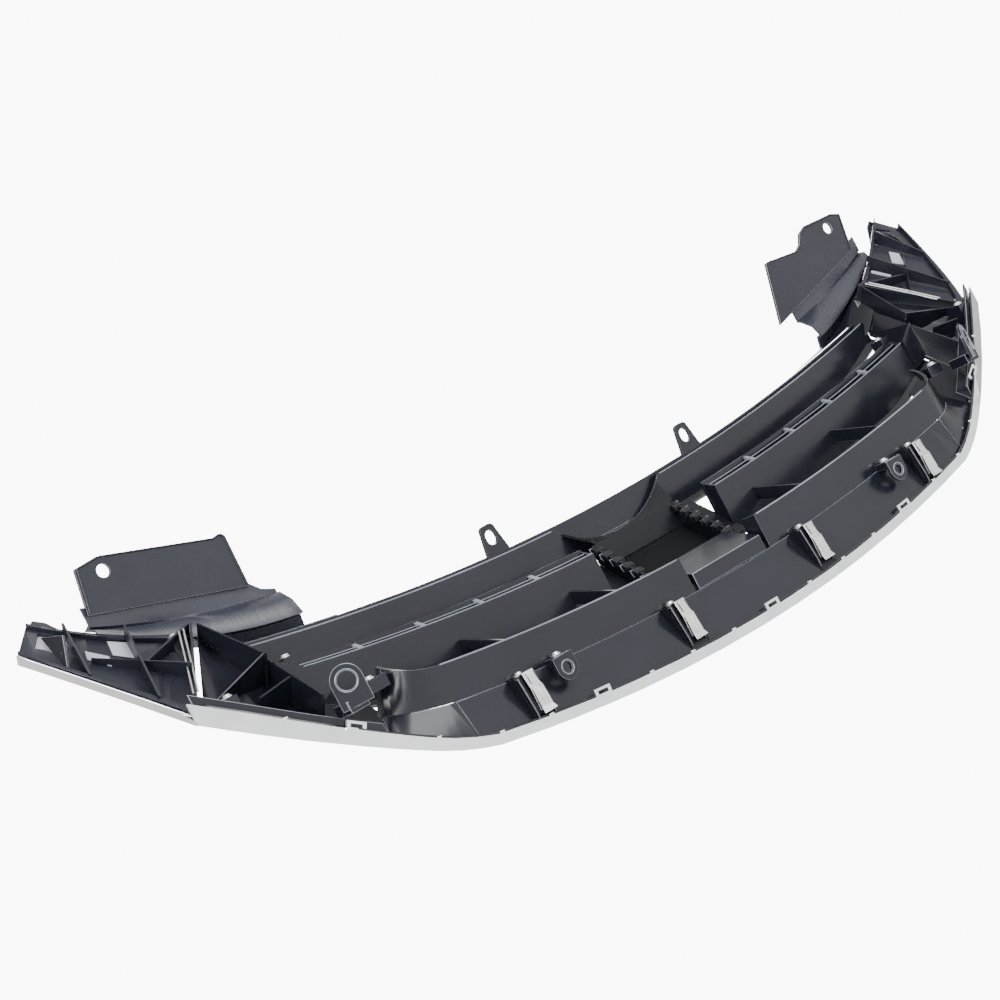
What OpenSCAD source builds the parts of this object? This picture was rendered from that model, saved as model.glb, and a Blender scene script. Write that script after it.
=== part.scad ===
// Front grille for a car: three cross bars, a badge pocket, wings and mounting flaps.
// Frame: +X to the vehicle's left, -Y to the front, +Z up.
// The origin is midway between the two central tab slots, at half the tab thickness.

/* [Overall] */
// Half of the overall width, from the centre line to a wing tip
half_w = 530; // [450:5:640]
// Radius of the bow of the rear edges, seen from above
bow_r = 2040; // [1500:20:3500]
// Lean of the front face from vertical, with the bottom forward, in degrees
rake = 40; // [34:1:42]
// How far a wing tip reaches outward from the end of the upper bar
wing_w = 144; // [125:1:170]

/* [Bars] */
// Drop from the tab plane to the underside of the upper bar
upper_drop = 8; // [7:0.5:12]
// Drop from the upper bar to the middle bar
middle_pitch = 49; // [42:1:62]
// Drop from the middle bar to the lower deck
lower_pitch = 60; // [52:1:74]
// Drop from the lower deck to the lower edge
foot_drop = 23; // [19:0.5:28]
// Depth of the upper bar, rear edge to front skin
upper_depth = 35.5; // [30:0.5:44]
// Depth of the middle bar
middle_depth = 46; // [40:0.5:52]
// Height of the hollow middle bar
middle_h = 16; // [13:0.5:20]
// Depth of the lower deck, rear edge to front skin
lower_depth = 62.5; // [54:0.5:70]
// Depth of the part of the lower deck behind the crease
deck_depth = 30.5; // [25:0.5:36]
// Wall thickness of the mouldings
wall = 2.5; // [2:0.1:3.2]
// Thickness of the front trims
trim_t = 3; // [2.4:0.1:3.6]
// Gap between mouldings that lie side by side
seam = 0.2; // [0.1:0.05:0.4]

/* [Badge pocket] */
// Half of the inner width of the badge pocket
pocket_half_w = 49.5; // [42:0.5:56]
// Height of the badge pocket
pocket_h = 54; // [46:1:60]
// Depth of the pocket walls behind the badge base
pocket_depth = 25; // [20:1:30]
// Number of teeth on each side of the pocket
teeth = 6; // [4:1:7]

/* [Mounts] */
// Distance between the two central tab slots
tab_spacing = 242; // [200:1:280]
// Width of the tab slots
tab_slot_w = 10.5; // [8:0.5:12]
// End-to-end length of the tab slots, front to back
tab_slot_l = 13; // [12.5:0.5:16]
// Width of a tab
tab_w = 25; // [23:1:32]
// Distance from the tab slots to the rear edge of the upper bar
tab_reach = 20.5; // [18:0.5:25]
// Plate thickness of the tabs and flaps
plate_t = 3; // [2.5:0.1:3.5]
// Diameter of the flap holes
flap_hole_d = 11; // [8:0.5:13]
// Distance from the wing tip to the flap hole, across the car
flap_hole_in = 93; // [88:1:98]
// Diameter of the ring bracket holes
ring_hole_d = 14; // [10:0.5:16]
// Diameter of the small bracket holes
lug_hole_d = 8; // [5:0.5:10]

/* [Fasteners] */
// Diameter of a screw head
head_d = 9; // [7:0.5:10]
// Height of a screw head
head_h = 3; // [2:0.5:4]
// Diameter of a screw shank
shank_d = 4; // [3:0.5:5]
// Length of a spring clip
clip_l = 38; // [32:1:42]
// Width of a spring clip
clip_w = 11; // [9:0.5:13]
// Distance between neighbouring spring clips
clip_pitch = 162; // [140:1:190]

/* [Hidden] */

row1_z = -upper_drop;
row2_z = row1_z - middle_pitch;
row3_z = row2_z - lower_pitch;
foot_z = row3_z - foot_drop;
lean = tan(rake);
row1_y = -tab_reach;
foot_y = row1_y - upper_depth - lean * (row1_z - foot_z);
row2_y = foot_y + lean * (row2_z - foot_z) + middle_depth;
row3_y = foot_y + lean * (row3_z - foot_z) + lower_depth;
crease_y = row3_y - deck_depth;
row1_end = half_w - wing_w;
sweep_from = row1_end - 86;
sweep_blend = 40;
sweep_slope = 0.22;
corner_from = row1_end - 96;
corner_x = row1_end + 87;
low_rise = 0.000095;
low_slope = 0.14;
low_curve = 0.0006;
wing_y = row1_y + 3 + row1_end * row1_end / (2 * bow_r);
chrome_h = 22;
trim_over = 5;
upper_top = plate_t / 2;
upper_set = 3;
middle_set = 6.5;
middle_in = 76;
middle_out = row1_end - 18;
deck_in = 47;
deck_out = row1_end - 86;
curl_r = 30;
curl_back = 15;
scoop_half_w = 65;
scoop_depth = 25;
lip_center = 11;
lip_grow = 9;

// Seats of the frame screws, from the tip inward and down
screw1 = [half_w - 30, wing_y + 54, 12];
screw2 = [row1_end + 36.5, wing_y + 26.5, 0];
screw3 = [row1_end - 21, wing_y - 26, row2_z + 23];
screw4 = [row1_end + 57.5, wing_y - 31, row2_z - 17];
screw5 = [row1_end - 40, wing_y - 68, row3_z + 20];

// --- shared curves ---------------------------------------------------------

// Evenly spaced numbers from a to b
function steps(a, b, n) = [for (i = [0:n]) a + (b - a) * i / n];
// Bow of the rear edges at x
function bow(x) = x * x / (2 * bow_r);
// Distance beyond a place along the bar
function past(x, from) = max(0, abs(x) - from);
// Extra sweep of the front face towards the ends
function swept(x) =
    let (p = past(x, sweep_from))
    sweep_slope * (p < sweep_blend ? p * p / (2 * sweep_blend) : p - sweep_blend / 2);
// Front face at x and z
function front(x, z) = foot_y + lean * (z - foot_z) + bow(x) + swept(x);
// Lower outline of the grille at x
function low_z(x) =
    let (p = past(x, corner_from))
    foot_z + low_rise * x * x + low_slope * p + low_curve * p * p;
// Depth of the lower lip of the chrome moulding at x
function lip(x) = lip_center + lip_grow * min(1, past(x, corner_from) / 150);
// Left-hand normal of a step in the YZ plane
function side(a, b) = let (d = b - a) [-d[1], d[0]] / norm(d);
// Mitred offset of point i of an open path
function mitre(p, i) =
    let (last = len(p) - 1)
    let (before = i > 0 ? side(p[i - 1], p[i]) : side(p[0], p[1]))
    let (after = i < last ? side(p[i], p[i + 1]) : side(p[last - 1], p[last]))
    (before + after) / (1 + before * after);
// Closed outline of a wall of thickness t on the left of an open path
function ribbon(p, t) =
    concat(p, [for (i = [len(p) - 1:-1:0]) p[i] + t * mitre(p, i)]);
// A YZ outline placed at x
function at(x, outline) = [for (q = outline) [x, q[0], q[1]]];

// Sum of a list
function sum(v, i = 0) = i == len(v) - 1 ? v[i] : v[i] + sum(v, i + 1);

// Closed skin through equal rings of points, in either direction round the ring.
// A ring has an even count: each end is closed by quads from its first half to its second.
module loft(rings) {
    n = len(rings[0]);
    m = len(rings);
    turn = sum([for (i = [0:n - 1]) cross(rings[0][i], rings[0][(i + 1) % n])])
        * (sum(rings[1]) - sum(rings[0]));
    polyhedron(
        points = [for (r = rings) each (turn > 0 ? r : [for (i = [n - 1:-1:0]) r[i]])],
        faces = concat(
            [for (j = [0:n / 2 - 2]) [j, j + 1, n - 2 - j, n - 1 - j]],
            [for (j = [0:n / 2 - 2]) [for (k = [n - 1 - j, n - 2 - j, j + 1, j]) (m - 1) * n + k]],
            [for (i = [0:m - 2]) for (j = [0:n - 1])
                [i * n + j, (i + 1) * n + j, (i + 1) * n + (j + 1) % n]],
            [for (i = [0:m - 2]) for (j = [0:n - 1])
                [i * n + j, (i + 1) * n + (j + 1) % n, i * n + (j + 1) % n]]
        )
    );
}

// Flat plate: an outline of 3D points thickened along the vector d
module plate(p, d) loft([p, [for (r = p) r + d]]);

// Square tower with its rear face at q, running forward
module tower(q, l, below, above) translate(q + [-5.5, -l, -below]) cube([11, l, below + above]);

// Clearance hole for a screw seated at q
module screw_hole(q) translate(q + [0, 1, 0]) rotate([90, 0, 0]) cylinder(d = shank_d, h = 10, $fn = 32);

// Both sides of the car
module both() {
    children();
    mirror([1, 0, 0]) children();
}

// --- upper bar ---------------------------------------------------------------

// Outer path of a hollow bar: upper rear edge, front, lower rear edge
function bar_path(x, z0, z1, rear_low, rear_up) = [
    [rear_up + bow(x), z1],
    [front(x, z1) + trim_t + seam, z1],
    [front(x, z0) + trim_t + seam, z0],
    [rear_low + bow(x), z0]
];

module bar(from, to, n, z0, z1, rear_low, rear_up) {
    loft([for (x = steps(from, to, n)) at(x, ribbon(bar_path(x, z0, z1, rear_low, rear_up), wall))]);
}

// Front trim between two heights
module trim(from, to, n, z0, z1) {
    loft([for (x = steps(from, to, n))
        at(x, ribbon([[front(x, z1), z1], [front(x, z0), z0]], trim_t - 0.7))]);
}

scoop_r = (scoop_half_w * scoop_half_w + scoop_depth * scoop_depth) / (2 * scoop_depth);
scoop_edge_y = row1_y - scoop_depth;

module tab() {
    reach = tab_slot_l / 2 + 5;
    root = upper_set + 2 - tab_reach;
    top_half = tab_w / 2 - 4.5;
    corner = 5;
    translate([0, 0, -plate_t / 2]) linear_extrude(plate_t) difference() {
        union() {
            polygon([
                [-tab_w / 2, root],
                [tab_w / 2, root],
                [top_half, reach - corner],
                [-top_half, reach - corner]
            ]);
            for (s = [-1, 1]) translate([s * (top_half - corner), reach - corner]) circle(corner, $fn = 48);
            translate([corner - top_half, reach - corner - 1]) square([2 * (top_half - corner), corner + 1]);
        }
        for (s = [-1, 1]) translate([0, s * (tab_slot_l - tab_slot_w) / 2]) circle(tab_slot_w / 2, $fn = 48);
        square([tab_slot_w, tab_slot_l - tab_slot_w], center = true);
    }
}

module top_cover() color([0.13, 0.14, 0.17]) {
    difference() {
        bar(-row1_end, row1_end, 48, row1_z, upper_top, row1_y, row1_y + upper_set);
        translate([0, scoop_edge_y + scoop_r, row1_z - 1])
            cylinder(r = scoop_r, h = upper_top - wall - row1_z + 0.9, $fn = 96);
    }
    both() translate([tab_spacing / 2, 0, 0]) tab();
}

module upper_bar_trim() color([0.08, 0.08, 0.10])
    trim(-row1_end, row1_end, 48, row1_z - trim_over, upper_top + trim_over + 2);

// --- middle bar --------------------------------------------------------------

middle_top = row2_z + middle_h;
link_in = pocket_half_w + wall + seam;

module middle_bar() color([0.13, 0.14, 0.17]) {
    bar(middle_in, middle_out, 22, row2_z, middle_top, row2_y, row2_y + middle_set);
    for (r = [[link_in, middle_in + 2], [middle_out - 2, row1_end]])
        loft([for (u = steps(r[0], r[1], 4)) at(u, ribbon([
            [front(u, middle_top - 0.4) + trim_t + seam + 0.4, middle_top - 0.4],
            [front(u, row2_z + 0.4) + trim_t + seam + 0.4, row2_z + 0.4]
        ], wall - 0.8))]);
    for (x = [middle_in + 0.3, middle_out - wall - 0.3])
        loft([for (u = [x, x + wall]) at(u, [
            [front(u, row2_z + 1) + trim_t + seam + 1, row2_z + 1],
            [row2_y + bow(u) - 0.6, row2_z + 1],
            [row2_y + middle_set + bow(u) - 1.2, middle_top - 1],
            [front(u, middle_top - 1) + trim_t + seam + 1, middle_top - 1]
        ])]);
    for (x = [135:59:middle_out - 40])
        translate([x - 1.2, row2_y + bow(x) - 12, row2_z + wall - 0.5])
            cube([2.4, 12, middle_h - 2 * wall + 1]);
    difference() {
        tower(screw3, 16, 8.5, 5.5);
        screw_hole(screw3);
    }
}

module middle_bar_trim() color([0.08, 0.08, 0.10])
    trim(link_in + 6, row1_end, 26, row2_z - trim_over, middle_top + trim_over);

// --- lower opening frame -----------------------------------------------------

deck_in_h = 18;
curl_z = row3_z + curl_r;
flare = 18;

// Place along the U-shaped frame: [x, z, outward x, outward z, progress of the curl]
function deck_path() = concat(
    [[deck_in, row3_z + deck_in_h, -1, 0, 0], [deck_in, row3_z, -1, -1, 0]],
    [for (x = steps(deck_in + 22, deck_out, 12)) [x, row3_z, 0, -1, 0]],
    [for (a = steps(9, 90, 9))
        [deck_out + curl_r * sin(a), curl_z - curl_r * cos(a), sin(a), -cos(a), 1 - cos(a)]]
);
// Ring of the frame wall at a place on its path
function deck_ring(p) =
    let (rear = row3_y + bow(p[0]) + curl_back * p[4])
    let (crease = crease_y + seam + bow(p[0]) + (curl_back - 3) * p[4])
    [
        [p[0] + flare * p[4], crease, p[1]],
        [p[0], rear, p[1]],
        [p[0] - wall * p[2], rear, p[1] - wall * p[3]],
        [p[0] + flare * p[4] - wall * p[2], crease, p[1] - wall * p[3]]
    ];

// Rib standing on the deck, up to the middle bar
module gusset(x) loft([for (u = [x - 1, x + 1]) at(u, [
    [row3_y + bow(x) - 1, row3_z + 1],
    [row2_y - 20 + bow(x), row2_z - seam],
    [row2_y - 32 + bow(x), row2_z - seam],
    [row3_y - 13 + bow(x), row3_z + 1]
])]);

module lower_frame() color([0.12, 0.13, 0.16]) {
    loft([for (p = deck_path()) deck_ring(p)]);
    for (x = [deck_in + 68, deck_out - 68]) gusset(x);
    difference() {
        translate([deck_out + curl_r + 4, screw5[1] - 10, screw5[2] - 5.5])
            cube([screw5[0] - deck_out - curl_r + 1.5, 10, 11]);
        screw_hole(screw5);
    }
}

// --- lower panel ---------------------------------------------------------------

groove_h = 3.4;
panel_top = row3_z + 21;
rail_w = 9;

function groove_y(x) = front(x, low_z(x)) + lip(x) + seam;
// Lower front corner of the panel: [y, z]
function panel_foot(x) =
    let (z = low_z(x) + groove_h)
    [front(x, z) + trim_t + seam, z];
// Underside of the panel at x and y
function under_z(x, y) =
    let (f = panel_foot(x))
    row3_z - (crease_y + bow(x) - y) * (row3_z - f[1]) / (crease_y + bow(x) - f[0]);

module lower_panel() color([0.12, 0.13, 0.16])
    loft([for (x = steps(-deck_out, deck_out, 36)) at(x, ribbon([
        [front(x, panel_top) + trim_t + seam, panel_top],
        panel_foot(x),
        [crease_y + bow(x), row3_z]
    ], wall))]);

// Deck between the two lower frames, with the lip under the badge pocket
module center_deck() color([0.12, 0.13, 0.16])
    translate([5 - deck_in, 0, 0]) rotate([90, 0, 90]) linear_extrude(2 * (deck_in - 5)) polygon(ribbon([
        [crease_y + seam + bow(deck_in), row3_z],
        [row3_y - 16, row3_z],
        [row3_y - 2, row2_z - 22]
    ], wall));

// End of the panel, from the straight part round to the rail
module lower_corner() color([0.12, 0.13, 0.16])
    loft([for (a = steps(0, 85, 8))
        let (x = deck_out + seam + curl_r * sin(a))
        let (g = deck_out + seam + 2 * curl_r * sin(a))
        let (out = [sin(a), 0, -cos(a)])
        let (y = crease_y + bow(x) + (curl_back - 3) * (1 - cos(a)))
        let (c = [x + flare * (1 - cos(a)), y, curl_z - curl_r * cos(a)])
        let (f = [g, panel_foot(g)[0], panel_foot(g)[1]])
        [f, c, c - wall * out, f + [0, 0, wall]]]);

module lower_rail() color([0.12, 0.13, 0.16])
    loft([for (x = steps(deck_out + 2 * curl_r + 2 * seam, corner_x - 4, 9)) at(x, ribbon([
        [front(x, low_z(x) + chrome_h - 1) + trim_t + seam, low_z(x) + chrome_h - 1],
        panel_foot(x),
        [groove_y(x) + rail_w, panel_foot(x)[1]]
    ], wall))]);

module lower_bar_trim() color([0.08, 0.08, 0.10])
    loft([for (x = steps(-row1_end, row1_end, 48))
        let (z0 = low_z(x) + chrome_h + seam)
        at(x, ribbon([[front(x, panel_top), max(panel_top, z0 + 4)], [front(x, z0), z0]], trim_t - 0.7))]);

// --- badge pocket --------------------------------------------------------------

pocket_top = row1_z - 18;
pocket_low = pocket_top - pocket_h;

function pocket_rear(z) = front(0, z) + pocket_depth;

module pocket_side() {
    x = pocket_half_w;
    plate([
        [x, front(0, pocket_low) + trim_t + seam, pocket_low],
        [x, pocket_rear(pocket_low), pocket_low],
        [x, pocket_rear(pocket_top), pocket_top],
        [x, front(0, pocket_top) + trim_t + seam, pocket_top]
    ], [wall, 0, 0]);
    for (i = [0:teeth - 1]) {
        z = pocket_top - (i + 0.6) * pocket_h / teeth;
        plate([
            [x - 5, pocket_rear(z) - 4, z + 2],
            [x - 5, pocket_rear(z) + 2.5, z + 3],
            [x - 5, pocket_rear(z) - 0.5, z - 1.5],
            [x - 5, pocket_rear(z) - 5, z - 1]
        ], [10, 0, 0]);
    }
}

module pocket_floor(z, rise) {
    x = pocket_half_w + wall;
    plate([
        [-x, front(0, z) + trim_t + seam, z],
        [x, front(0, z) + trim_t + seam, z],
        [x, pocket_rear(z), z],
        [-x, pocket_rear(z), z]
    ], [0, 0, rise]);
}

module badge_pocket() color([0.09, 0.09, 0.11]) {
    both() pocket_side();
    pocket_floor(pocket_low, wall);
    pocket_floor(pocket_top, -wall);
    for (x = steps(-36, 30, 5)) translate([x, pocket_rear(pocket_low) - 2, pocket_low])
        cube([7, 5, 3.5]);
    loft([for (a = steps(-38, 38, 14))
        let (u = [scoop_r * sin(a), scoop_edge_y + scoop_r - scoop_r * cos(a) - seam, row1_z - seam])
        let (v = [u[0] * 0.84, u[1] - 16, pocket_top - wall])
        [u, v, v - [0, wall, 0], u - [0, wall, 0]]]);
}

module badge_base() color([0.30, 0.31, 0.33])
    loft([for (x = steps(-pocket_half_w - 8, pocket_half_w + 8, 12))
        let (e = 1 - pow(abs(x) / (pocket_half_w + 8), 6))
        at(x, [
            [front(0, pocket_low - 6 * e) - 1, pocket_low - 6 * e],
            [front(0, pocket_low - 6 * e) + trim_t, pocket_low - 6 * e],
            [front(0, pocket_top + 6 * e) + trim_t, pocket_top + 6 * e],
            [front(0, pocket_top + 6 * e) - 1, pocket_top + 6 * e]
        ])]);

// --- chrome moulding -------------------------------------------------------------

slot_tab_w = 16;

function chrome_ring(x) =
    let (z = low_z(x))
    let (z1 = z + chrome_h)
    at(x, [
        [front(x, z1), z1],
        [front(x, z + 4), z + 4],
        [front(x, z) + 2.5, z],
        [front(x, z) + lip(x), z],
        [front(x, z) + lip(x), z + wall],
        [front(x, z + wall) + trim_t, z + wall],
        [front(x, z + 2 * wall) + trim_t, z + 2 * wall],
        [front(x, z1) + trim_t, z1]
    ]);

module chrome_moulding() color([0.85, 0.87, 0.90]) {
    loft([for (x = concat(steps(-corner_x, -corner_from, 12), steps(-corner_from + 20, corner_from - 20, 24),
        steps(corner_from, corner_x, 12))) chrome_ring(x)]);
    for (x = [-381, -190, 0, 190, 381]) translate([x, front(x, low_z(x)) + lip(x) - 1, low_z(x)])
        rotate([0, 0, atan(x / bow_r) + (abs(x) > corner_from ? sign(x) * 22 : 0)])
            difference() {
                translate([-slot_tab_w / 2, 0, 0]) cube([slot_tab_w, 7, wall]);
                translate([-slot_tab_w / 2 + 3, 2, -1]) cube([slot_tab_w - 6, 3, wall + 2]);
            }
}

// --- wings -------------------------------------------------------------------------

up = [0, 0.742, -0.67];
wing_from = [corner_x - 8, front(corner_x, low_z(corner_x)) + 3, low_z(corner_x) + 13];
wing_tip = [half_w, wing_y + 63, 25];

// Lower outer edge of the wing, from the corner to the tip
function wing_low(s) =
    let (d = wing_tip - wing_from)
    wing_from + [s * d[0], pow(s, 1.05) * d[1], pow(s, 1.17) * d[2]];
// Upper inner edge of the wing
function wing_top(s) = [
    row1_end + 19 + 105 * s,
    wing_y + 19 + 62 * s - 24 * s * (1 - s),
    6 + 27 * s
];
// A point on the wing's skin: s along it, t from the lower to the upper edge, h above it
function on_wing(s, t, h) = wing_low(s) * (1 - t) + wing_top(s) * t + h * up;

module wing_rib(s0, t0, s1, t1, h0, h1)
    plate([on_wing(s0, t0, 1), on_wing(s1, t1, 1), on_wing(s1, t1, h1), on_wing(s0, t0, h0)], [1.2, 1.2, 1]);

module wing() color([0.14, 0.15, 0.18]) difference() {
    union() {
        difference() {
            loft([for (s = steps(0, 1, 12))
                [on_wing(s, 0, 0), on_wing(s, 1, 0), on_wing(s, 1, wall), on_wing(s, 0, wall)]]);
            plate([
                on_wing(0.74, 0.45, -6),
                on_wing(0.93, 0.45, -6),
                on_wing(0.93, 0.9, -6),
                on_wing(0.74, 0.9, -6)
            ], 14 * up);
        }
        for (t = [[0.01, 0.06, 8], [0.94, 0.99, 7]])
            loft([for (s = steps(0.006, 0.994, 12)) [
                on_wing(s, t[0], 0.8), on_wing(s, t[1], 0.8), on_wing(s, t[1], t[2]), on_wing(s, t[0], t[2])
            ]]);
        wing_rib(0, 0.03, 0, 0.98, 7, 17);
        wing_rib(0.42, 0.97, 0.22, 0.05, 18, 10);
        wing_rib(0.78, 0.97, 0.60, 0.05, 14, 9);
        wing_rib(0.02, 0.5, 0.6, 0.42, 16, 8);
        wing_rib(0.02, 0.98, 0.30, 0.5, 16, 10);
        tower(screw1, 12, 5.5, 5.5);
        tower(screw2, 16, 5.5, 5.5);
    }
    screw_hole(screw1);
    screw_hole(screw2);
}

module wing_trim() color([0.85, 0.87, 0.90])
    loft([for (s = steps(0.01, 1, 14))
        let (in = wing_top(s) - wing_low(s))
        let (n = in / norm(in))
        let (b = wing_low(s) - seam * n)
        [
            b - 1.5 * n + 6 * up,
            b - 1.5 * n - 2.5 * up,
            b + 10 * n - 2.5 * up,
            b + 10 * n - seam * up,
            b - seam * up,
            b + 6 * up
        ]]);

// --- side frames -------------------------------------------------------------------

frame_x = row1_end + seam;
frame_low = [frame_x, front(frame_x, low_z(frame_x) + chrome_h) + trim_t, low_z(frame_x) + chrome_h];
frame_up = [frame_x, front(frame_x, row1_z) + trim_t + 2, row1_z];

// A point on the side frame's skin: s outward, t upward, h above it
function on_frame(s, t, h) =
    (frame_low * (1 - t) + frame_up * t) * (1 - s)
    + ((wing_low(0) + [-1, 1, 1]) * (1 - t) + (wing_top(0) - [2, 0, 0]) * t) * s + h * up;

module frame_rib(s0, t0, s1, t1, h0, h1)
    plate([
        on_frame(s0, t0, 1), on_frame(s1, t1, 1), on_frame(s1, t1, h1), on_frame(s0, t0, h0)
    ], [1.4, 0.8, 1]);

module side_frame() color([0.12, 0.13, 0.16]) difference() {
    union() {
        loft([for (s = steps(0, 0.96, 6))
            [on_frame(s, 0, 0), on_frame(s, 1, 0), on_frame(s, 1, wall), on_frame(s, 0, wall)]]);
        frame_rib(0.02, 0.02, 0.02, 0.98, 30, 26);
        frame_rib(0.95, 0.04, 0.10, 0.62, 6, 34);
        frame_rib(0.5, 0.05, 0.1, 0.3, 22, 30);
        frame_rib(0.1, 0.6, 0.9, 0.95, 34, 20);
        plate([
            [middle_out, row2_y + bow(middle_out), row2_z],
            [frame_x + 2, row2_y + 10 + bow(frame_x), row2_z],
            [frame_x + 2, front(frame_x, row2_z) + 5, row2_z],
            [middle_out, front(middle_out, row2_z) + 6, row2_z]
        ], [0, 0, -wall]);
        tower(screw4, 22, 5.5, 12);
    }
    screw_hole(screw4);
}

// --- side covers with the mounting flaps ----------------------------------------------

flap_z = 23;
flap_hole = [half_w - flap_hole_in, wing_y + 96];

// Rear and front edges of the shelf between the flap and the bar, s from inner to outer end
function shelf_rear(s) = [row1_end - 68 + 140 * s, wing_y + 22 + 39 * s - 20 * s * (1 - s), 22 + 8 * s];
function shelf_front(s) = [row1_end - 68 + 154 * s, wing_y - 1 + 53 * s - 35 * s * (1 - s), 4 + 14 * s];

module mounting_flap(notched) color([0.17, 0.18, 0.21]) {
    edge = notched
        ? [[213, 30.5], [76, 66], [68, 104], [80, 108], [122, 108], [133, 103], [140, 93], [150, 88],
            [193, 91]]
        : [[198.5, 36], [65, 70], [72, 106], [93, 108], [190, 82], [197, 83], [199.5, 80]];
    difference() {
        translate([0, 0, flap_z]) linear_extrude(plate_t)
            polygon([for (q = edge) [half_w - q[0], wing_y + q[1]]]);
        translate([flap_hole[0], flap_hole[1], flap_z - 1])
            cylinder(d = flap_hole_d, h = plate_t + 2, $fn = 64);
    }
}

module side_cover(from) color([0.17, 0.18, 0.21])
    loft([for (s = steps(from, 1, 14))
        let (r = shelf_rear(s))
        let (f = shelf_front(s))
        let (m = (r + f) / 2 + [0, 2, -3])
        let (f2 = [f[1], f[2]])
        let (m2 = [m[1], m[2]])
        let (r2 = [r[1], r[2]])
        let (a = r[1] + 4 + 13 * max(0, min(1, s / 0.1)))
        let (z = flap_z + plate_t + seam)
        let (k = 7 + 6 * max(0, 1 - s / 0.6))
        let (p = [[f[1] - k, f[2] + 9], [f[1] - 1, f[2] + 6], f2, m2, r2, [r[1] + 1, z], [a, z]])
        at(r[0] * 0.4 + f[0] * 0.6, ribbon(p, wall))]);

// --- brackets ---------------------------------------------------------------------------

lug_t = 3;

// Round-ended lug with a hole at the origin and its foot along +X
module lug(w, l, d) linear_extrude(lug_t) difference() {
    union() {
        circle(d = w, $fn = 64);
        translate([0, -w / 2]) square([l, w]);
    }
    circle(d = d, $fn = 64);
}

ring_at = [row1_end - 10, wing_y - 59, row3_z - 3];

module ring_bracket() color([0.13, 0.14, 0.17]) {
    translate(ring_at) rotate([0, 150, 0]) rotate([0, 0, -90]) lug(25, 20, ring_hole_d);
    y = groove_y(ring_at[0] + 8) + rail_w + seam;
    translate([ring_at[0] - 9, y, ring_at[2]]) cube([17, ring_at[1] - 14 - y, 22]);
}

lug_x = clip_pitch * 1.5 - 36;
lug_at = [lug_x, crease_y + bow(lug_x) - 7, row3_z - 14];
lug_screw = [lug_x - 2, crease_y + bow(lug_x) + 4, row3_z - 7];

module lug_bracket() color([0.13, 0.14, 0.17]) {
    crease = crease_y + bow(lug_x - 8);
    translate(lug_at) rotate([0, 180, 0]) rotate([0, 0, 90]) lug(20, 10.5, lug_hole_d);
    difference() {
        loft([for (u = [lug_x - 8, lug_x + 6]) at(u, [
            [lug_screw[1] - 6, under_z(lug_x - 8, lug_screw[1] - 6) - seam],
            [crease, row3_z - seam],
            [lug_screw[1], row3_z - seam],
            [lug_screw[1], lug_at[2] - 1],
            [crease, lug_at[2] - 1],
            [lug_screw[1] - 6, lug_at[2] - 1]
        ])]);
        screw_hole(lug_screw);
    }
}

// --- spring clips and screws --------------------------------------------------------------

clip_x = [for (i = [-1.5:1:1.5]) i * clip_pitch];
block_y = crease_y + 1;
block_h = 11;

function block_path(x) = [
    [block_y + bow(x), row3_z - block_h],
    [block_y + bow(x) - clip_l, row3_z - block_h - 6]
];

module clip_holders() color([0.10, 0.10, 0.12])
    for (x = clip_x) {
        w = clip_w + 8;
        p = block_path(x);
        f = [groove_y(x) + 1, under_z(x, groove_y(x) + 1) - seam];
        difference() {
            loft([for (u = [x - w / 2, x + w / 2]) at(u, [
                p[0],
                [p[0][0], row3_z - seam],
                [crease_y + bow(x - w / 2), row3_z - seam],
                f,
                f - [0, 0.8],
                p[1] + [6, 2.4]
            ])]);
            translate([x, p[0][0] + 1, row3_z - 5]) rotate([90, 0, 0])
                cylinder(d = shank_d, h = 13, $fn = 32);
        }
    }

module spring_clips() color([0.80, 0.80, 0.78])
    for (x = clip_x) {
        p = block_path(x);
        loft([for (u = [x - 3 - clip_w / 2, x - 3 + clip_w / 2]) at(u, ribbon([
            [p[0][0] + 1, row3_z - 9], p[0] + [1, -2.5], p[0] + [-12, -4.5], p[1] + [8, 2], p[1] + [7, 6]
        ], -0.9))]);
    }

// Screw with its head at the origin, the shank along -Y
module screw(l) rotate([90, 0, 0]) {
    cylinder(d = shank_d - 0.1, h = l, $fn = 32);
    translate([0, 0, -1.2]) cylinder(d = head_d, h = 1.2, $fn = 48);
    translate([0, 0, -head_h]) cylinder(d1 = head_d * 0.55, d2 = head_d * 0.85, h = head_h - 1.2, $fn = 48);
}

module clip_screws() color([0.85, 0.85, 0.83])
    for (x = clip_x) translate([x, block_y + bow(x), row3_z - 5]) screw(12);

module frame_screws() color([0.85, 0.85, 0.83])
    both() {
        for (q = [screw1, screw2, screw3, screw4, screw5]) translate(q) screw(8);
        translate(lug_screw) screw(5);
    }

// --- nodes -----------------------------------------------------------------

top_cover();
upper_bar_trim();
middle_bar();  // middle_bar_left
mirror([1, 0, 0]) middle_bar();  // middle_bar_right
middle_bar_trim();  // middle_bar_trim_left
mirror([1, 0, 0]) middle_bar_trim();  // middle_bar_trim_right
lower_frame();  // lower_frame_left
mirror([1, 0, 0]) lower_frame();  // lower_frame_right
lower_panel();
center_deck();
lower_corner();  // lower_corner_left
mirror([1, 0, 0]) lower_corner();  // lower_corner_right
lower_rail();  // lower_rail_left
mirror([1, 0, 0]) lower_rail();  // lower_rail_right
lower_bar_trim();
badge_pocket();
badge_base();
chrome_moulding();
wing();  // wing_left
mirror([1, 0, 0]) wing();  // wing_right
wing_trim();  // wing_trim_left
mirror([1, 0, 0]) wing_trim();  // wing_trim_right
side_frame();  // side_frame_left
mirror([1, 0, 0]) side_frame();  // side_frame_right
side_cover(-0.05);  // side_cover_left
mirror([1, 0, 0]) side_cover(0.17);  // side_cover_right
mounting_flap(false);  // mounting_flap_left
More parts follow.
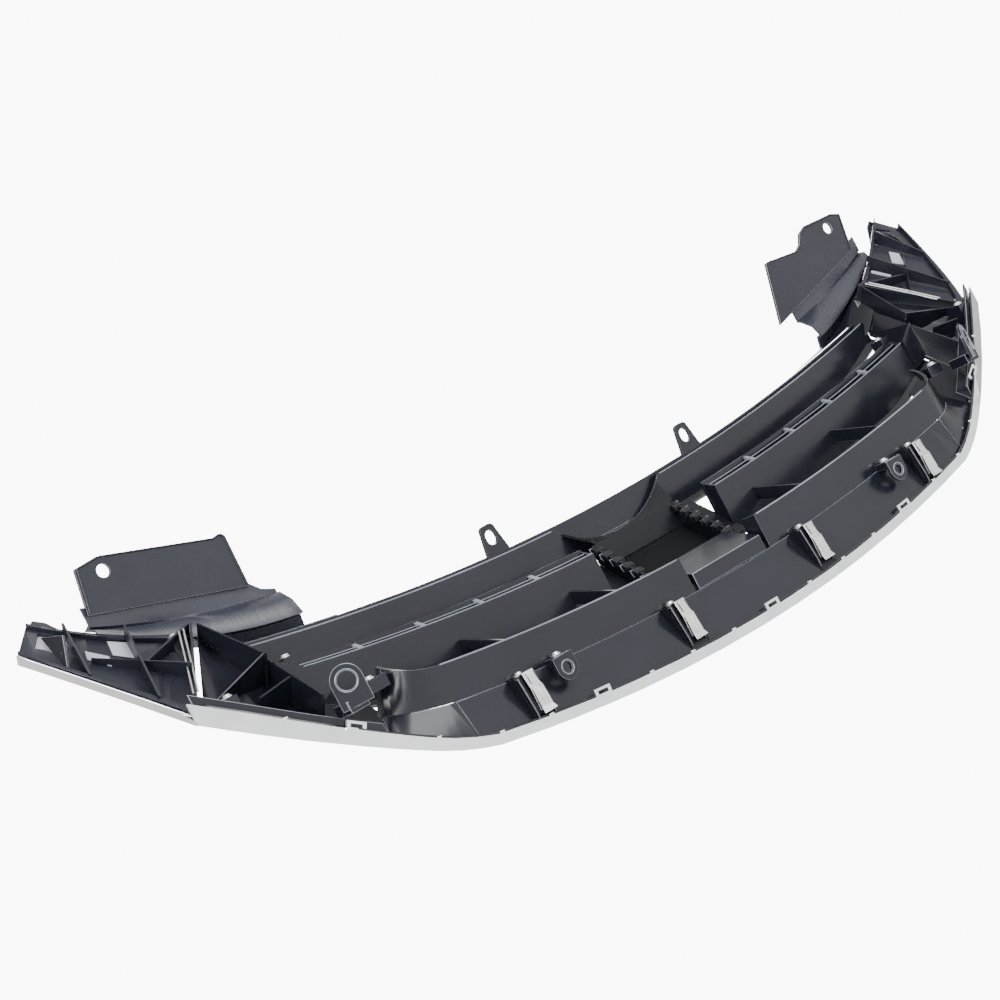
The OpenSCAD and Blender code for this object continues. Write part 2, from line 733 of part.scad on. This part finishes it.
mirror([1, 0, 0]) mounting_flap(true);  // mounting_flap_right
ring_bracket();  // ring_bracket_left
mirror([1, 0, 0]) ring_bracket();  // ring_bracket_right
lug_bracket();  // lug_bracket_left
mirror([1, 0, 0]) lug_bracket();  // lug_bracket_right
clip_holders();
spring_clips();
clip_screws();
frame_screws();
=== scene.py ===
import bpy
import bmesh
import math
from mathutils import Vector, Matrix


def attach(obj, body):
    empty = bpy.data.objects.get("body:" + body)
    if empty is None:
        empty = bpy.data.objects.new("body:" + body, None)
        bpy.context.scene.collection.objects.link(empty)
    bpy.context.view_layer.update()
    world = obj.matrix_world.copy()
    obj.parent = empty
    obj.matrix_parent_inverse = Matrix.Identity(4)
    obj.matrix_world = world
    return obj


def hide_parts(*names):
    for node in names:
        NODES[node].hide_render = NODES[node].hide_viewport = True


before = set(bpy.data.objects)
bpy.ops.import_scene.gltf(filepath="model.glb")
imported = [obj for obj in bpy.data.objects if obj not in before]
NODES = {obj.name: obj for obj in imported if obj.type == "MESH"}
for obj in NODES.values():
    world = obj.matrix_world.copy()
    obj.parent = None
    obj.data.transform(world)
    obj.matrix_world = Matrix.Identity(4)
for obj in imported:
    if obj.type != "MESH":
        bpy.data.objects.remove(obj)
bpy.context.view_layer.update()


# ---------------------------------------------------------------- materials

SPAN = (0.3, 0.7)  # part of a noise's range that a look is spread over


def new_mat(name):
    """Material with an empty tree but for a Principled shader: (material, tree, shader)."""
    m = bpy.data.materials.new(name)
    m.use_nodes = True
    nt = m.node_tree
    nt.nodes.clear()
    out = nt.nodes.new("ShaderNodeOutputMaterial")
    bsdf = nt.nodes.new("ShaderNodeBsdfPrincipled")
    nt.links.new(bsdf.outputs["BSDF"], out.inputs["Surface"])
    return m, nt, bsdf


def coords(nt, scale=(1, 1, 1)):
    """Object coordinates, stretched by scale."""
    tc = nt.nodes.new("ShaderNodeTexCoord")
    mp = nt.nodes.new("ShaderNodeMapping")
    mp.inputs["Scale"].default_value = scale
    nt.links.new(tc.outputs["Object"], mp.inputs["Vector"])
    return mp.outputs["Vector"]


def noise(nt, vec, scale, detail=4.0, rough=0.55):
    n = nt.nodes.new("ShaderNodeTexNoise")
    n.inputs["Scale"].default_value = scale
    n.inputs["Detail"].default_value = detail
    n.inputs["Roughness"].default_value = rough
    nt.links.new(vec, n.inputs["Vector"])
    return n.outputs["Fac"]


def ramp(nt, fac, lo, hi, a, b):
    """fac mapped from lo..hi to a..b."""
    r = nt.nodes.new("ShaderNodeMapRange")
    r.inputs["From Min"].default_value = lo
    r.inputs["From Max"].default_value = hi
    r.inputs["To Min"].default_value = a
    r.inputs["To Max"].default_value = b
    nt.links.new(fac, r.inputs["Value"])
    return r.outputs["Result"]


def mix_col(nt, fac, a, b):
    c = nt.nodes.new("ShaderNodeMix")
    c.data_type = "RGBA"
    c.inputs["A"].default_value = (*a, 1)
    c.inputs["B"].default_value = (*b, 1)
    nt.links.new(fac, c.inputs["Factor"])
    return c.outputs["Result"]


def bump(nt, bsdf, heights):
    """Bumps stacked on the shader's normal, each a (height, strength, distance)."""
    last = None
    for h, strength, dist in heights:
        b = nt.nodes.new("ShaderNodeBump")
        b.inputs["Strength"].default_value = strength
        b.inputs["Distance"].default_value = dist
        nt.links.new(h, b.inputs["Height"])
        if last:
            nt.links.new(last, b.inputs["Normal"])
        last = b.outputs["Normal"]
    nt.links.new(last, bsdf.inputs["Normal"])


def plastic(name, dark, light, r0, r1, grain, wave, streak=0.0, spec=0.5, coat=0.0):
    """Moulded plastic: clouded colour and gloss, fine grain, slight waves, brushed streaks if asked."""
    m, nt, p = new_mat(name)
    v = coords(nt)
    cloud = noise(nt, v, 9.0, 5.0)
    fine = noise(nt, v, 900.0, 3.0)
    flow = noise(nt, coords(nt, (3.0, 9.0, 9.0)), 6.0, 2.0)
    nt.links.new(mix_col(nt, ramp(nt, cloud, *SPAN, 0, 1), dark, light), p.inputs["Base Color"])
    nt.links.new(ramp(nt, noise(nt, v, 26.0, 6.0, 0.65), *SPAN, r0, r1), p.inputs["Roughness"])
    heights = [(fine, grain, 0.0002), (flow, wave, 0.004)]
    if streak:
        s = noise(nt, coords(nt, (900.0, 14.0, 14.0)), 1.0, 3.0, 0.7)
        heights.append((s, streak, 0.0006))
    bump(nt, p, heights)
    p.inputs["Specular IOR Level"].default_value = spec
    p.inputs["Coat Weight"].default_value = coat
    p.inputs["Coat Roughness"].default_value = 0.08
    return m


def metal(name, dark, light, r0, r1, scratch, stretch=(1, 1, 1)):
    """Bright metal with clouded gloss and scratches drawn out along stretch."""
    m, nt, p = new_mat(name)
    v = coords(nt)
    cloud = noise(nt, v, 40.0, 5.0)
    nt.links.new(mix_col(nt, ramp(nt, cloud, *SPAN, 0, 1), dark, light), p.inputs["Base Color"])
    smear = noise(nt, coords(nt, stretch), 60.0, 6.0, 0.6)
    nt.links.new(ramp(nt, smear, *SPAN, r0, r1), p.inputs["Roughness"])
    bump(nt, p, [
        (noise(nt, coords(nt, stretch), 420.0, 4.0), scratch, 0.0003),
        (noise(nt, v, 14.0, 2.0), 0.05, 0.003),
    ])
    p.inputs["Metallic"].default_value = 1.0
    return m


SLATE = plastic("slate", (0.005, 0.006, 0.010), (0.009, 0.010, 0.016), 0.16, 0.28, 0.03, 0.03, spec=0.42)
SATIN = plastic("satin_slate", (0.008, 0.009, 0.015), (0.014, 0.016, 0.024), 0.24, 0.38, 0.05, 0.015,
                streak=0.18, spec=0.42)
# Side covers: satin finish with streaks, and a colour lighter than the slate that paints light on the shelf
# where it faces the lamp.
SHELF = plastic("shelf_satin_painted_light", (0.012, 0.014, 0.022), (0.022, 0.025, 0.037), 0.22, 0.34, 0.05, 0.015,
                streak=0.40, spec=0.6)
# Near-black sheet inside the badge pocket: painted shade in the recess.
POCKET_SHADE = plastic("pocket_painted_shade", (0.0015, 0.0015, 0.002), (0.003, 0.003, 0.004), 0.5, 0.7, 0.05, 0.02, spec=0.12)
GLOSS = plastic("gloss", (0.004, 0.004, 0.006), (0.008, 0.008, 0.012), 0.10, 0.20, 0.04, 0.04, coat=0.3)
MATT = plastic("matt", (0.003, 0.003, 0.005), (0.007, 0.007, 0.011), 0.28, 0.44, 0.08, 0.04, spec=0.3)
# Lighter grey for rounded edges, beads, rims and links: a painted highlight along the edges.
PAINTED_EDGE_HIGHLIGHT = plastic("edge", (0.11, 0.12, 0.15), (0.20, 0.21, 0.25), 0.20, 0.34, 0.05, 0.02, spec=0.8)
BADGE = plastic("badge", (0.014, 0.015, 0.018), (0.022, 0.023, 0.027), 0.30, 0.42, 0.12, 0.03)
# Light grey plates on the wings: painted reflection of the light on the black wing skin.
PAINTED_REFLECTION_SKIN = plastic("wing_skin_painted_reflection", (0.30, 0.31, 0.35), (0.48, 0.49, 0.54), 0.35, 0.5, 0.10, 0.05, streak=0.30)
CHROME = metal("bright_chrome", (0.80, 0.81, 0.83), (0.93, 0.93, 0.94), 0.07, 0.20, 0.03)
SPRING = metal("spring", (0.62, 0.62, 0.61), (0.84, 0.84, 0.83), 0.22, 0.42, 0.18, (1, 12, 12))
SCREW = metal("screw", (0.76, 0.76, 0.75), (0.95, 0.95, 0.94), 0.16, 0.34, 0.12)

# Material of each CAD node that isn't SLATE
LOOK = {
    "upper_bar_trim": GLOSS, "middle_bar_trim_left": GLOSS, "middle_bar_trim_right": GLOSS,
    "lower_bar_trim": GLOSS, "chrome_moulding": CHROME, "wing_trim_left": CHROME, "wing_trim_right": CHROME,
    "badge_base": BADGE, "badge_pocket": MATT, "clip_holders": MATT, "spring_clips": SPRING,
    "clip_screws": SCREW, "frame_screws": SCREW, "side_cover_left": SHELF, "side_cover_right": SHELF,
    "mounting_flap_left": SATIN, "mounting_flap_right": SATIN, "wing_left": SATIN, "wing_right": SATIN,
}


# ---------------------------------------------------------------- mesh helpers

EDGED = (SLATE, SATIN, SHELF, MATT, GLOSS)  # looks whose rounded edges get the lighter edge colour, a painted highlight
SHARP = 32.0  # degrees between faces from which an edge is rounded
SOFT = 50.0  # the same on the twisted walls
WELD = 2e-6
FLAT = math.radians(1.2)  # faces closer to one plane than this are joined
ROUND = 0.0005  # edge width in metres
FINE_ROUND = {"spring_clips": 0.00025, "clip_screws": 0.0003, "frame_screws": 0.0003}


def put(me, name, mat, bevel=0.0, angle=SHARP):
    """Piece made from a mesh, with rounded edges, on the root body."""
    o = bpy.data.objects.new(name, me)
    bpy.context.scene.collection.objects.link(o)
    me.materials.clear()
    me.materials.append(mat)
    for face in me.polygons:
        face.material_index = 0
    if bevel:
        b = o.modifiers.new("edge", "BEVEL")
        b.width = bevel
        b.segments = 2
        b.limit_method = "ANGLE"
        b.angle_limit = math.radians(angle)
        b.use_clamp_overlap = True
        b.harden_normals = False
        # Rounded edges of these looks get the lighter edge colour, a painted highlight.
        if mat in EDGED:
            me.materials.append(PAINTED_EDGE_HIGHLIGHT)
            b.material = 1
    me.shade_smooth()
    me.set_sharp_from_angle(angle=math.radians(angle + 3))
    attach(o, "root")
    return o


def rounded(node, mat, width, angle):
    """Visible copy of a CAD node, welded, with rounded edges."""
    src = NODES[node]
    me = src.data.copy()
    me.transform(src.matrix_world)
    bm = bmesh.new()
    bm.from_mesh(me)
    bmesh.ops.remove_doubles(bm, verts=bm.verts, dist=WELD)
    bmesh.ops.dissolve_degenerate(bm, edges=bm.edges, dist=WELD)
    bmesh.ops.dissolve_limit(bm, angle_limit=FLAT, verts=bm.verts, edges=bm.edges)
    bmesh.ops.recalc_face_normals(bm, faces=bm.faces)
    bm.to_mesh(me)
    bm.free()
    o = put(me, "v_" + node, mat, width, angle)
    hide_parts(node)


for node in sorted(NODES):
    angle = SOFT if node.startswith(("lower_corner", "side_cover")) else SHARP
    rounded(node, LOOK.get(node, SLATE), FINE_ROUND.get(node, ROUND), angle)


# ---------------------------------------------------------------- the part's own curves, in millimetres

MM = 0.001
HALF_W, BOW_R, LEAN = 530.0, 2040.0, math.tan(math.radians(40))
ROW1_Z, ROW2_Z, ROW3_Z, FOOT_Z = -8.0, -57.0, -117.0, -140.0
UPPER_DEPTH, MIDDLE_DEPTH, LOWER_DEPTH, DECK_DEPTH = 35.5, 46.0, 62.5, 30.5
ROW1_Y = -20.5
FOOT_Y = ROW1_Y - UPPER_DEPTH - LEAN * (ROW1_Z - FOOT_Z)
ROW2_Y = FOOT_Y + LEAN * (ROW2_Z - FOOT_Z) + MIDDLE_DEPTH
ROW3_Y = FOOT_Y + LEAN * (ROW3_Z - FOOT_Z) + LOWER_DEPTH
CREASE_Y = ROW3_Y - DECK_DEPTH
ROW1_END = 386.0
SWEEP_FROM, CORNER_FROM = 300.0, 290.0
CORNER_X = ROW1_END + 87
WING_Y = ROW1_Y + 3 + ROW1_END * ROW1_END / (2 * BOW_R)
WING_ROOT = Vector((405, WING_Y + 19.6, 6.2))
UPV = Vector((0, 0.742, -0.67))
CLIPS = [i * 162.0 for i in (-1.5, -0.5, 0.5, 1.5)]


def bow(x):
    """Bow of the rear edges at x."""
    return x * x / (2 * BOW_R)


def front(x, z):
    """Front face at x and z."""
    p = max(0.0, abs(x) - SWEEP_FROM)
    swept = 0.22 * (p * p / 80.0 if p < 40 else p - 20.0)
    return FOOT_Y + LEAN * (z - FOOT_Z) + bow(x) + swept


def low_z(x):
    """Lower outline of the grille at x."""
    p = max(0.0, abs(x) - CORNER_FROM)
    return FOOT_Z + 0.000095 * x * x + 0.14 * p + 0.0006 * p * p


def lip(x):
    """Depth of the lower lip of the moulding at x."""
    return 11 + 9 * min(1.0, max(0.0, abs(x) - CORNER_FROM) / 150.0)


def groove_y(x):
    """Rear edge of the lip."""
    return front(x, low_z(x)) + lip(x) + 0.2


def spread(a, b, n):
    return [a + (b - a) * i / n for i in range(n + 1)]


def skin(name, rings, closed=False):
    """Mesh through equal rings of points, joined end to start if closed, else capped."""
    bm = bmesh.new()
    rows = [[bm.verts.new(Vector(p) * MM) for p in ring] for ring in rings]
    n = len(rows[0])
    for a, b in list(zip(rows, rows[1:])) + ([(rows[-1], rows[0])] if closed else []):
        for j in range(n):
            bm.faces.new((a[j], b[j], b[(j + 1) % n], a[(j + 1) % n]))
    if not closed:
        bm.faces.new(rows[0])
        bm.faces.new(rows[-1][::-1])
    bmesh.ops.recalc_face_normals(bm, faces=bm.faces)
    me = bpy.data.meshes.new(name)
    bm.to_mesh(me)
    bm.free()
    return me


def loft(name, rings, mat, bevel=0.0, angle=SHARP):
    put(skin(name, rings), name, mat, bevel, angle)


def circle(r, u, w, n):
    """n points round the origin in the plane of u and w."""
    return [r * (math.cos(t) * u + math.sin(t) * w) for t in [2 * math.pi * k / n for k in range(n)]]


def tube(name, path, r, mat, closed=False):
    """Round bar of radius r along a path."""
    pts = [Vector(p) for p in path]
    rings = []
    for i, p in enumerate(pts):
        a = pts[i - 1] if i or closed else p
        b = pts[(i + 1) % len(pts)] if i < len(pts) - 1 or closed else p
        d = (b - a).normalized()
        u = d.cross(Vector((0.21, 0.37, 0.9))).normalized()
        rings.append([p + q for q in circle(r, u, d.cross(u), 8)])
    put(skin(name, rings, closed), name, mat)


def slab(name, outline, d, mat, bevel):
    """Outline thickened along d, its edges rounded by bevel millimetres."""
    d = Vector(d)
    ring = [Vector(p) for p in outline]
    loft(name, [ring, [p + d for p in ring]], mat, bevel * MM)


def flip(p, k):
    """Point on the left side (k 1) or the right side (k -1)."""
    return (p[0] * k, p[1], p[2])


def sides(fn):
    for k, tag in ((1, "left"), (-1, "right")):
        fn(k, tag)


# ---------------------------------------------------------------- dark closing strips

CREASE_SECTION = ((-6, 2.7), (6, 2.7), (6, 3.5), (-6, 3.5))
loft("crease_strip", [
    [(x, CREASE_Y + bow(x) + a, ROW3_Z + b) for a, b in CREASE_SECTION] for x in spread(-300, 300, 30)
], MATT)


def behind_front(x, k, depth, thick, low, high):
    """Section of a wall that stands depth behind the front face, from low to high."""
    corners = ((depth, low), (depth, high), (depth + thick, high), (depth + thick, low))
    return [(x * k, front(x, z) + a, z) for a, z in corners]


def closing(k, tag):
    end = [behind_front(x, k, 5, 1.2, low_z(x) + 10, -63) for x in spread(338, 390, 8)]
    apron = [behind_front(x, k, 6.5, 1.2, -66, -14) for x in spread(53, 79, 4)]
    loft("end_closing_" + tag, end, MATT)
    loft("pocket_apron_" + tag, apron, MATT)


sides(closing)


def skirt_ends(s):
    """Edge under the shelf and edge on the upper bar or the wing, s from inner to outer end."""
    f = Vector((318 + 154 * s, WING_Y - 1 + 53 * s - 35 * s * (1 - s), 4 + 14 * s))
    a = Vector((318 + 148.4 * s, f.y - 6 - 6 * max(0.0, 1 - s / 0.6), f.z + 8.2))
    if s >= 0.5:
        t = (s - 0.5) / 0.5 * 0.58
        return a, Vector((405 + 105 * t, WING_Y + 19.6 + 62 * t - 24 * t * (1 - t), 6.2 + 27 * t))
    x = 286 + 119 * max(0.0, s) / 0.5
    b = Vector((x, ROW1_Y + 3 + bow(x) + 0.4, 1.9))
    if x > ROW1_END:
        u = (x - ROW1_END) / 19
        b = b * (1 - u) + WING_ROOT * u
    return a, b


def shelf_skirt(k, tag):
    rings = []
    for s in spread(-0.02, 1.0, 24):
        a, b = skirt_ends(s)
        edge = [a, (a + b) / 2 + Vector((0, 1.5, -1.5)), b]
        rings.append([flip(p, k) for p in edge + [p + Vector((0, 0, 1.2)) for p in edge[::-1]]])
    loft("shelf_skirt_" + tag, rings, SLATE, angle=60.0)
    # The bead takes the lighter edge colour, a painted highlight along the skirt's edge.
    tube("shelf_skirt_bead_" + tag, [flip(r[2], k) for r in rings], 0.7, PAINTED_EDGE_HIGHLIGHT)


sides(shelf_skirt)

# ---------------------------------------------------------------- wings, flaps and lugs

WING_FROM = Vector((CORNER_X - 8, front(CORNER_X, low_z(CORNER_X)) + 3, low_z(CORNER_X) + 13))
WING_TIP = Vector((HALF_W, WING_Y + 63, 25))


def on_wing(s, t, h):
    """Point of the wing: s along it, t from the lower to the upper edge, h above its skin."""
    d = WING_TIP - WING_FROM
    low = WING_FROM + Vector((s * d.x, max(s, 0) ** 1.05 * d.y, max(s, 0) ** 1.17 * d.z))
    top = Vector((ROW1_END + 19 + 105 * s, WING_Y + 19 + 62 * s - 24 * s * (1 - s), 6 + 27 * s))
    return low * (1 - t) + top * t + h * UPV


def wing_plate(name, k, corners, h, mat):
    """Plate on the wing, its corners given as (s, t), its underside h above the skin."""
    slab(name, [flip(on_wing(s, t, h), k) for s, t in corners], flip(UPV, k), mat, 0.3)


def wing_detail(k, tag):
    tip = [(0.72, 0.42), (0.95, 0.42), (0.95, 0.93), (0.72, 0.93)]
    upper = [(0.33, 0.66), (0.50, 0.66), (0.54, 0.92), (0.38, 0.92)]
    lower = [(0.50, 0.44), (0.64, 0.46), (0.66, 0.64), (0.52, 0.62)]
    # Light grey plates: painted reflection on the wing skin.
    wing_plate("wing_reflection_tip_" + tag, k, tip, -1.4, PAINTED_REFLECTION_SKIN)
    wing_plate("wing_reflection_upper_" + tag, k, upper, 2.7, PAINTED_REFLECTION_SKIN)
    wing_plate("wing_reflection_lower_" + tag, k, lower, 2.7, PAINTED_REFLECTION_SKIN)
    fin = [on_wing(0.90, 0.80, 2), on_wing(0.72, 0.10, 2), on_wing(0.76, 0.62, 15)]
    slab("wing_fin_" + tag, [flip(p, k) for p in fin], (k * 1.2, 1.2, 0.8), MATT, 0.3)
    for i, dx in enumerate((0.0, 4.2)):
        a = on_wing(0.06, 0.93, 15) + Vector((dx, 0, 0))
        b = on_wing(-0.01, 0.25, 9) + Vector((dx, 0, 0))
        path = [flip(p, k) for p in (a, (a + b) / 2 + UPV * 0.5, b)]
        tube("wing_tower_line_%d_%s" % (i, tag), path, 0.8, SPRING)
    web = [(374, 14.5, 2.6), (407, 40, 7.6), (404, 24, -16), (382, 2, -10)]
    slab("wing_root_web_" + tag, [flip(p, k) for p in web], (0, 0.4, 1.0), MATT, 0.2)
    ear = ((0.74, 1.0, 1.0), (0.99, 1.0, 1.0), (0.97, 1.16, 4.0), (0.90, 1.17, 4.0))
    slab("wing_ear_" + tag, [flip(on_wing(*q), k) for q in ear], flip(UPV * 1.4, k), SATIN, 0.3)


sides(wing_detail)


def trim_seam(k, tag):
    seam = [flip(on_wing(s, -0.005, 0.4), k) for s in spread(0.02, 0.99, 24)]
    tube("wing_trim_seam_" + tag, seam, 0.75, GLOSS)


sides(trim_seam)


def flap_bead(k, tag, edge):
    """Bead just inside the edge of a mounting flap, the edge measured from the wing tip."""
    outline = [Vector((HALF_W - a, WING_Y + b, 0)) for a, b in edge]
    inward, back = (sum(values) / len(edge) for values in zip(*edge))
    mid = Vector((HALF_W - inward, WING_Y + back, 0))
    inset = [p + (mid - p).normalized() * 2.2 for p in outline]
    tube("flap_bead_" + tag, [(p.x * k, p.y, 22.7) for p in inset], 0.7, SATIN)


flap_bead(1, "left", [(198.5, 36), (199.5, 80), (197, 83), (190, 82), (93, 108), (72, 106), (65, 70)])
flap_bead(-1, "right", [
    (213, 30.5), (193, 91), (150, 88), (140, 93), (133, 103), (122, 108), (80, 108), (68, 104), (76, 66)
])


def hoop(name, at, r, axis, wire, mat):
    """Round rim of radius r about an axis."""
    a = Vector(axis).normalized()
    u = a.cross(Vector((0, 1, 0))).normalized()
    tube(name, [Vector(at) + q for q in circle(r, u, a.cross(u), 40)], wire, mat, closed=True)


def rims(k, tag):
    lug = (207 * k, CREASE_Y + bow(207) - 7, ROW3_Z - 17.1)
    # The rims take the lighter edge colour, a painted highlight.
    hoop("lug_rim_" + tag, lug, 5.6, (0, 0, 1), 0.6, PAINTED_EDGE_HIGHLIGHT)
    hoop("ring_rim_" + tag, (377.6 * k, -40, -122.7), 8.3, (0.5 * k, 0, -0.866), 0.6, PAINTED_EDGE_HIGHLIGHT)


sides(rims)

# ---------------------------------------------------------------- dark sheet inside the badge pocket: painted shade

SHADE_SHEET_SECTION = ((3.5, -78), (3.5, -29), (4.3, -29), (4.3, -78))
loft("pocket_shade_sheet", [[(x, front(0, z) + a, z) for a, z in SHADE_SHEET_SECTION] for x in (-48.5, 0, 48.5)], POCKET_SHADE)


def pocket_steps(count, pitch):
    for i in range(count):
        z = -26 - (i + 0.6) * pitch
        y = front(0, z) + 25
        step = [(45, y - 4, z + 3.4), (56, y - 3, z + 3.4), (56, y + 3.6, z + 4.6), (45, y + 2.6, z + 4.6)]
        for k, tag in ((1, "left"), (-1, "right")):
            slab("pocket_step_%d_%s" % (i, tag), [flip(p, k) for p in step], (0, -0.3, -1.2), SLATE, 0.3)


pocket_steps(6, 9)

# ---------------------------------------------------------------- rolled edges, their beads lighter: painted highlights

def bead(name, xs, y, z, r):
    """Bead along a rear edge in the lighter edge colour, a painted highlight, y and z being its place at the
    middle of the part.
    """
    tube(name, [(x, y + bow(x), z) for x in xs], r, PAINTED_EDGE_HIGHLIGHT)


bead("bead_row1", spread(-380, 380, 60), ROW1_Y + 2.4, 1.2, 0.75)
bead("bead_row1_low_left", spread(68, 382, 40), ROW1_Y - 0.3, ROW1_Z + 0.3, 0.7)
bead("bead_row1_low_right", spread(-382, -68, 40), ROW1_Y - 0.3, ROW1_Z + 0.3, 0.7)


def beads(k, tag):
    row2 = [x * k for x in spread(77, 367, 30)]
    inner = [x * k for x in spread(79, 365, 30)]
    row3 = [x * k for x in spread(50, 298, 30)]
    bead("bead_row2_" + tag, row2, ROW2_Y + 6, ROW2_Z + 15.6, 0.7)
    bead("bead_row2_low_" + tag, row2, ROW2_Y - 0.4, ROW2_Z + 0.4, 0.65)
    bead("bead_row2_mid_" + tag, inner, ROW2_Y + 2, ROW2_Z + 8, 0.55)
    bead("bead_row3_" + tag, row3, ROW3_Y - 0.4, ROW3_Z + 0.4, 0.8)


sides(beads)


def bar_links(count, first, pitch, width):
    for i in range(count):
        x = first + pitch * i
        a, y, z = x - width / 2, ROW2_Y + bow(x), ROW2_Z
        link = [(a, y - 1, z + 1.5), (a, y + 6, z + 14.8), (a, y + 3, z + 14.8), (a, y - 4, z + 1.5)]
        for k, tag in ((1, "left"), (-1, "right")):
            # The links take the lighter edge colour, a painted highlight.
            slab("bar_link_%d_%s" % (i, tag), [flip(p, k) for p in link], (k * width, 0, 0), PAINTED_EDGE_HIGHLIGHT, 0.3)


bar_links(4, 135, 59, 4)

# ---------------------------------------------------------------- spring clips and holders

CHEEK = [(-1, 1), (-1, -3.2), (-30, -6.4), (-36, -6.2), (-36, -3)]
TONGUE = [(-5.8, 0, -3.3), (-0.2, 0, -3.3), (-0.2, -9, -4.6), (-5.8, -9, -4.6)]
BODY = [(-7.6, -12.5, -5.0), (1.6, -12.5, -5.0), (2.2, -29, -5.4), (-8.2, -29, -5.4)]
CLIP_LIP = [(-8.4, -28.5, -5.6), (2.4, -28.5, -5.6), (3.4, -33.5, -8.2), (-9.4, -33.5, -8.2)]
CLIP_CREASE = [(-3.6, -13.5, -6.0), (-2.4, -13.5, -6.0), (-2.2, -28, -6.4), (-3.8, -28, -6.4)]
CLIP_RIM = [(-8.0, -12, -5.4), (-8.5, -28, -6.2)]


def clip_detail(i, x):
    def at(points):
        """Points given from the middle of the clip's rear edge."""
        return [(x + a, CREASE_Y + 1 + bow(x) + b, ROW3_Z - 11 + c) for a, b, c in points]

    for side, tag in ((-1, "a"), (1, "b")):
        cheek = at([(side * 8.6, b, c) for b, c in CHEEK])
        slab("holder_cheek_%d_%s" % (i, tag), cheek, (1.1 * -side, 0, 0), MATT, 0.35)
    slab("clip_tongue_%d" % i, at(TONGUE), (0, 0, -0.8), SPRING, 0.2)
    slab("clip_body_%d" % i, at(BODY), (0, 0, -1.0), SPRING, 0.3)
    slab("clip_lip_%d" % i, at(CLIP_LIP), (0, 0.4, -0.8), SPRING, 0.2)
    slab("clip_crease_%d" % i, at(CLIP_CREASE), (0, 0, -0.6), SCREW, 0.15)
    tube("clip_rim_%d" % i, at(CLIP_RIM), 0.45, SCREW)


for i, x in enumerate(CLIPS):
    clip_detail(i, x)

# ---------------------------------------------------------------- moulding

tube("moulding_gasket", [(x, groove_y(x) + 0.9, low_z(x) + 1.4) for x in spread(-462, 462, 90)], 0.85, GLOSS)
TICKS = (-420, -330, -285, -240, -140, -95, -48, 48, 95, 140, 240, 285, 330, 420)
for i, x in enumerate(TICKS):
    y, z = front(x, low_z(x)) + lip(x), low_z(x) + 0.3
    tick = [(x - 2.2, y - 0.5, z), (x + 2.2, y - 0.5, z), (x + 2.2, y + 1.8, z), (x - 2.2, y + 1.8, z)]
    slab("moulding_tick_%d" % i, tick, (0, 0, 2), CHROME, 0.3)

# ---------------------------------------------------------------- stage, light, camera

VIEW = (-0.58755, 0.0, 0.80919)  # direction in which the main camera looks
EYE = (1.13463, 0.02427, -1.43284)
FLOOR_Z = -1.9


def floor(size):
    mat, nt, shader = new_mat("floor")
    shader.inputs["Base Color"].default_value = (0.62, 0.625, 0.63, 1)
    shader.inputs["Roughness"].default_value = 0.9
    bm = bmesh.new()
    bmesh.ops.create_grid(bm, x_segments=1, y_segments=1, size=size)
    me = bpy.data.meshes.new("floor")
    bm.to_mesh(me)
    bm.free()
    o = bpy.data.objects.new("floor", me)
    o.location = (0, 0, FLOOR_Z)
    me.materials.append(mat)
    bpy.context.scene.collection.objects.link(o)


def studio():
    """White world, brighter upwards, with a bright patch round the fixed direction VIEW."""
    world = bpy.data.worlds.new("studio")
    bpy.context.scene.world = world
    world.use_nodes = True
    wt = world.node_tree
    tc = wt.nodes.new("ShaderNodeTexCoord")
    sep = wt.nodes.new("ShaderNodeSeparateXYZ")
    wt.links.new(tc.outputs["Generated"], sep.inputs["Vector"])
    facing = wt.nodes.new("ShaderNodeVectorMath")
    facing.operation = "DOT_PRODUCT"
    facing.inputs[1].default_value = VIEW
    wt.links.new(tc.outputs["Generated"], facing.inputs[0])
    total = wt.nodes.new("ShaderNodeMath")
    total.operation = "ADD"
    wt.links.new(ramp(wt, sep.outputs["Z"], -0.1, 0.5, 0.7, 1.1), total.inputs[0])
    wt.links.new(ramp(wt, facing.outputs["Value"], 0.86, 0.94, 0.0, 9.0), total.inputs[1])
    bg = wt.nodes["Background"]
    wt.links.new(total.outputs["Value"], bg.inputs["Strength"])
    bg.inputs["Color"].default_value = (1.0, 1.0, 1.0, 1)


def disk_light(name, at, size, power):
    """Round area light aimed at the middle of the part."""
    d = bpy.data.lights.new(name, "AREA")
    d.shape = "DISK"
    d.size = size
    d.energy = power
    o = bpy.data.objects.new(name, d)
    o.location = at
    o.rotation_euler = (-Vector(at)).to_track_quat("-Z", "Y").to_euler()
    bpy.context.scene.collection.objects.link(o)


def camera():
    cam = bpy.data.cameras.new("camera")
    cam.lens = 75.6
    cam.sensor_width = 36
    cam.clip_start = 0.01
    cam.clip_end = 100
    o = bpy.data.objects.new("camera", cam)
    right = Vector((-0.71842, -0.46018, -0.52164)).normalized()
    look = Vector(VIEW).normalized()
    up = right.cross(look).normalized()
    turn = Matrix((right, up, -look)).transposed()
    o.matrix_world = Matrix.Translation(EYE) @ turn.to_4x4()
    bpy.context.scene.collection.objects.link(o)
    bpy.context.scene.camera = o


floor(12)
studio()
disk_light("top_soft", UPV * 1.5, 1.2, 26)
disk_light("key_left", (1.5, 0.5, -0.6), 0.7, 16)
disk_light("front_soft", (0.2, -1.8, 0.7), 1.2, 14)
camera()
